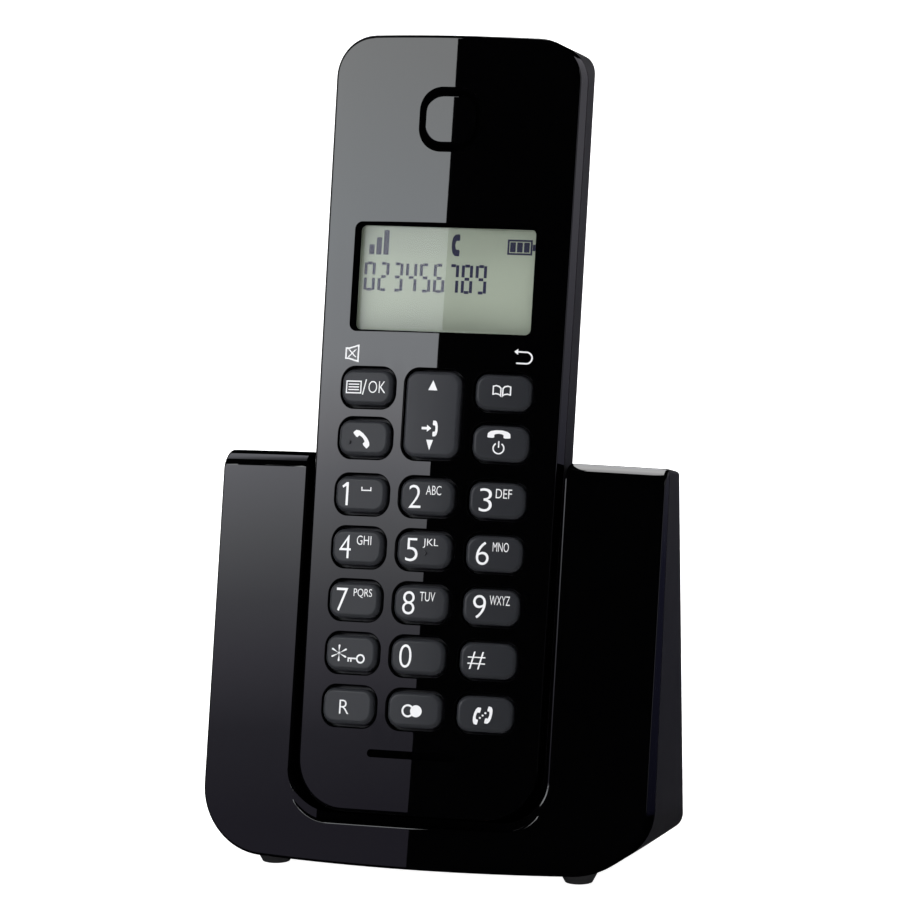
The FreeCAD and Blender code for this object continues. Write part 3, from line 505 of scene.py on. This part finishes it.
def receiver(x, z, length, depth, facing):
    """A telephone handset seen from the side, its back bulging towards an angle in degrees.

    outer is half of its back and inner half of its hollow side, as shares of the depth and length."""
    outer = [(-0.45, 0.46), (-0.38, 0.5), (0.1, 0.48), (0.36, 0.36), (0.5, 0.14)]
    inner = [(0.08, 0.0), (0.02, 0.14), (-0.08, 0.2), (-0.4, 0.2), (-0.48, 0.26)]
    profile = [(u, -v) for u, v in outer] + outer[::-1] + inner[::-1]
    profile += [(u, -v) for u, v in inner[1:]]
    turn = math.radians(facing)
    return [(x + u * depth * math.cos(turn) - v * length * math.sin(turn),
             z + u * depth * math.sin(turn) + v * length * math.cos(turn)) for u, v in profile]


def print_marks(name, body, shapes, depth_at, material, proud=PROUD):
    """Lay flat shapes on a surface of the handset as one thin piece."""
    made = bpy.data.meshes.new(name)
    build = bmesh.new()
    for points, faces in shapes:
        placed = []
        for p in points:
            lift = proud if p.z > 0 else -SUNK
            placed.append(build.verts.new(spot(p.x, depth_at(p.x) - lift, p.y)))
        for face in faces:
            build.faces.new([placed[index] for index in face])
    bmesh.ops.remove_doubles(build, verts=build.verts, dist=WELD)
    bmesh.ops.recalc_face_normals(build, faces=build.faces)
    build.to_mesh(made)
    build.free()
    piece = bpy.data.objects.new(name, made)
    scene.collection.objects.link(piece)
    made.materials.append(material)
    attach(piece, body)


def on_key(x):
    return crown(x, KEY_RISE)


def on_face(x):
    return crown(x)


# digits stand left of their key's middle, letters right of it; the 1 has a sign instead of letters
COLUMN = {"left": -14.17, "middle": 0.0, "right": 14.17}
ROW_FIRST = 21.1
ROW_PITCH = 10.65
DIGIT_LEFT = {"left": -3.95, "middle": -3.7, "right": -3.4}
DIGIT_WIDE = 2.55
DIGIT_BELOW = 2.3
DIGIT_ABOVE = 2.35
DIGITS = [
    ("1", "", "left", 4), ("2", "ABC", "middle", 4), ("3", "DEF", "right", 4),
    ("4", "GHI", "left", 3), ("5", "JKL", "middle", 3), ("6", "MNO", "right", 3),
    ("7", "PQRS", "left", 2), ("8", "TUV", "middle", 2), ("9", "WXYZ", "right", 2),
    ("0", "", "middle", 1)]
for digit, letters, column, row in DIGITS:
    mid = COLUMN[column]
    level = ROW_FIRST + row * ROW_PITCH
    left = mid + DIGIT_LEFT[column]
    low = level - DIGIT_BELOW
    if digit == "1":
        shapes = [shape([(left + 0.75, low), (left + 1.25, low), (left + 1.25, low + 4.65),
                         (left + 0.8, low + 4.65), (left - 0.15, low + 3.9), (left + 0.05, low + 3.5),
                         (left + 0.75, low + 3.95)]),
                  shape(bar(mid + 0.15, level + 0.72, mid + 2.35, level + 0.94)),
                  shape(bar(mid + 0.15, level + 0.96, mid + 0.37, level + 1.5)),
                  shape(bar(mid + 2.13, level + 0.96, mid + 2.35, level + 1.5))]
    else:
        shapes = [words(digit, left, low, left + DIGIT_WIDE, level + DIGIT_ABOVE)]
    if letters:
        far = mid + (3.85 if len(letters) > 3 else 3.0)
        shapes.append(words(letters, mid - 0.15, level + 0.5, far, level + DIGIT_ABOVE, 0.006))
    print_marks("print_" + digit, "key_" + digit, shapes, on_key, white_print)

level = ROW_FIRST + ROW_PITCH
print_marks("print_star", "key_star", [
    words("*", -18.45, level - 1.75, -15.1, level + 1.6),
    shape(circle(-12.0, 30.7, 0.95), circle(-12.0, 30.7, 0.62)),
    shape(bar(-14.8, 30.56, -12.97, 30.84)),
    shape(bar(-14.8, 30.0, -14.52, 30.54)),
    shape(bar(-14.2, 30.0, -13.92, 30.54))], on_key, white_print)
print_marks("print_hash", "key_hash", [
    words("#", 10.35, level - 1.8, 13.85, level + 1.7)], on_key, white_print)
print_marks("print_recall", "key_recall", [
    words("R", -16.0, 19.5, -13.9, 22.3)], on_key, white_print)
print_marks("print_redial", "key_redial", [
    shape(arc(-1.25, 20.9, 1.3, 0.38, 38, 322)),
    shape(circle(0.45, 20.9, 1.2))], on_key, white_print)
print_marks("print_intercom", "key_intercom", [
    shape(receiver(12.75, 20.75, 3.5, 1.15, 168)),
    shape(receiver(15.2, 20.95, 3.5, 1.15, -12)),
    shape(circle(13.45, 20.35, 0.2)),
    shape(circle(13.97, 20.85, 0.2)),
    shape(circle(14.49, 21.35, 0.2))], on_key, white_print)

print_marks("print_menu", "key_menu", [
    shape(bar(-18.8, 84.0, -15.35, 86.6), bar(-18.55, 84.25, -15.6, 86.35)),
    shape(bar(-18.25, 85.75, -15.9, 85.98)),
    shape(bar(-18.25, 85.2, -15.9, 85.43)),
    shape(bar(-18.25, 84.65, -15.9, 84.88)),
    shape(line(-15.05, 83.8, -14.35, 86.9, 0.24)),
    words("OK", -13.8, 84.2, -10.1, 86.6)], on_key, white_print)
print_marks("print_phonebook", "key_phonebook", [
    shape([(12.15, 84.75), (12.85, 84.95), (13.5, 84.8), (13.94, 84.35), (13.94, 86.2), (13.5, 86.65),
           (12.85, 86.8), (12.15, 86.6)],
          [(12.4, 85.05), (12.85, 85.2), (13.45, 85.08), (13.68, 84.9), (13.68, 86.08), (13.4, 86.38),
           (12.85, 86.54), (12.4, 86.4)]),
    shape([(14.08, 84.35), (14.5, 84.8), (15.15, 84.95), (15.85, 84.75), (15.85, 86.6), (15.15, 86.8),
           (14.5, 86.65), (14.08, 86.2)],
          [(14.34, 84.9), (14.57, 85.08), (15.17, 85.2), (15.6, 85.05), (15.6, 86.4), (15.15, 86.54),
           (14.6, 86.38), (14.34, 86.08)])], on_key, white_print)
print_marks("print_talk", "key_talk", [
    shape(receiver(-14.5, 75.0, 4.5, 1.6, 45))], on_key, white_print)
print_marks("talk_dot", "key_talk", [shape(circle(-17.5, 74.15, 0.42))], on_key,
            looks["key_plastic"], proud=DOT_PROUD)
print_marks("print_off", "key_off", [
    shape(receiver(13.95, 76.95, 4.6, 1.6, 90)),
    shape(arc(14.0, 74.15, 1.2, 0.26, 122, 418)),
    shape(bar(13.88, 74.3, 14.12, 75.6))], on_key, white_print)
print_marks("print_nav", "key_nav", [
    shape([(-0.95, 85.15), (0.95, 85.15), (0.0, 87.15)]),
    shape([(-0.75, 75.2), (-0.05, 73.1), (0.65, 75.2)]),
    shape([(-1.85, 77.25), (-0.75, 77.25), (-0.75, 76.8), (0.15, 77.5), (-0.75, 78.2), (-0.75, 77.75),
           (-1.85, 77.75)]),
    shape(receiver(0.95, 77.5, 3.2, 1.05, 0))], on_key, white_print)
print_marks("five_dot", "key_5", [shape(circle(0.3, 52.5, 0.4))], on_key,
            looks["key_plastic"], proud=DOT_PROUD)

print_marks("print_mute", "handset", [
    shape([(-19.7, 91.0), (-18.9, 91.0), (-16.6, 90.35), (-16.6, 94.0), (-18.9, 93.35), (-19.7, 93.35)],
          [(-19.38, 91.32), (-18.85, 91.32), (-16.92, 90.75), (-16.92, 93.6), (-18.85, 93.03),
           (-19.38, 93.03)]),
    words("X", -19.15, 91.4, -17.15, 92.95, 0.0)], on_face, white_print)
print_marks("print_return", "handset", [
    shape(arc(18.2, 92.55, 1.3, 0.3, -90, 90, 14)),
    shape(bar(16.3, 91.25, 18.18, 91.55)),
    shape(bar(16.6, 93.55, 18.18, 93.85)),
    shape([(15.8, 93.7), (16.58, 93.1), (16.58, 94.3)])], on_face, white_print)

# ---------------------------------------------------------------- display marks
# A row of seven-segment numerals below; signal bars, a handset and a battery above. LCD_FACE is the
# depth that the marks are laid at.
LCD_FACE = 5.6
NUMERAL_LEFT = -17.75
NUMERAL_PITCH = 2.93
NUMERAL_LOW = 105.3
SIGNAL_LEFT = -17.0
SIGNAL_PITCH = 1.5
SIGNAL_WIDE = 1.1
SIGNAL_LOW = 112.75
CELL_LEFT = 12.55
CELL_PITCH = 1.45
CELL_WIDE = 1.15


def on_lcd(x):
    return LCD_FACE


SEGMENTS = {
    "a": bar(0.66, 5.35, 1.64, 5.95), "g": bar(0.66, 2.68, 1.64, 3.28), "d": bar(0.66, 0.0, 1.64, 0.6),
    "f": bar(-0.02, 3.33, 0.6, 5.75), "b": bar(1.7, 3.33, 2.32, 5.75),
    "e": bar(-0.02, 0.2, 0.6, 2.63), "c": bar(1.7, 0.2, 2.32, 2.63)}
NUMERALS = ["abcdef", "abged", "abgcd", "fgbc", "afgcd", "afgedc", "abc", "abcdefg", "abcdfg"]
marks = []
for step, lit in enumerate(NUMERALS):
    start = NUMERAL_LEFT + step * NUMERAL_PITCH
    for segment in lit:
        marks.append(shape([(start + x, NUMERAL_LOW + z) for x, z in SEGMENTS[segment]]))
for step, height in enumerate((2.0, 3.5, 5.0)):
    start = SIGNAL_LEFT + step * SIGNAL_PITCH
    marks.append(shape(bar(start, SIGNAL_LOW, start + SIGNAL_WIDE, SIGNAL_LOW + height)))
marks.append(shape(receiver(1.2, 115.1, 4.5, 1.75, 180)))
marks.append(shape(bar(12.0, 113.5, 17.2, 116.6), bar(12.38, 113.88, 16.82, 116.22)))
marks.append(shape(bar(17.25, 114.4, 17.8, 115.7)))
for step in range(3):
    start = CELL_LEFT + step * CELL_PITCH
    marks.append(shape(bar(start, 114.05, start + CELL_WIDE, 116.05)))
print_marks("lcd_marks", "handset", marks, on_lcd, lcd_ink)
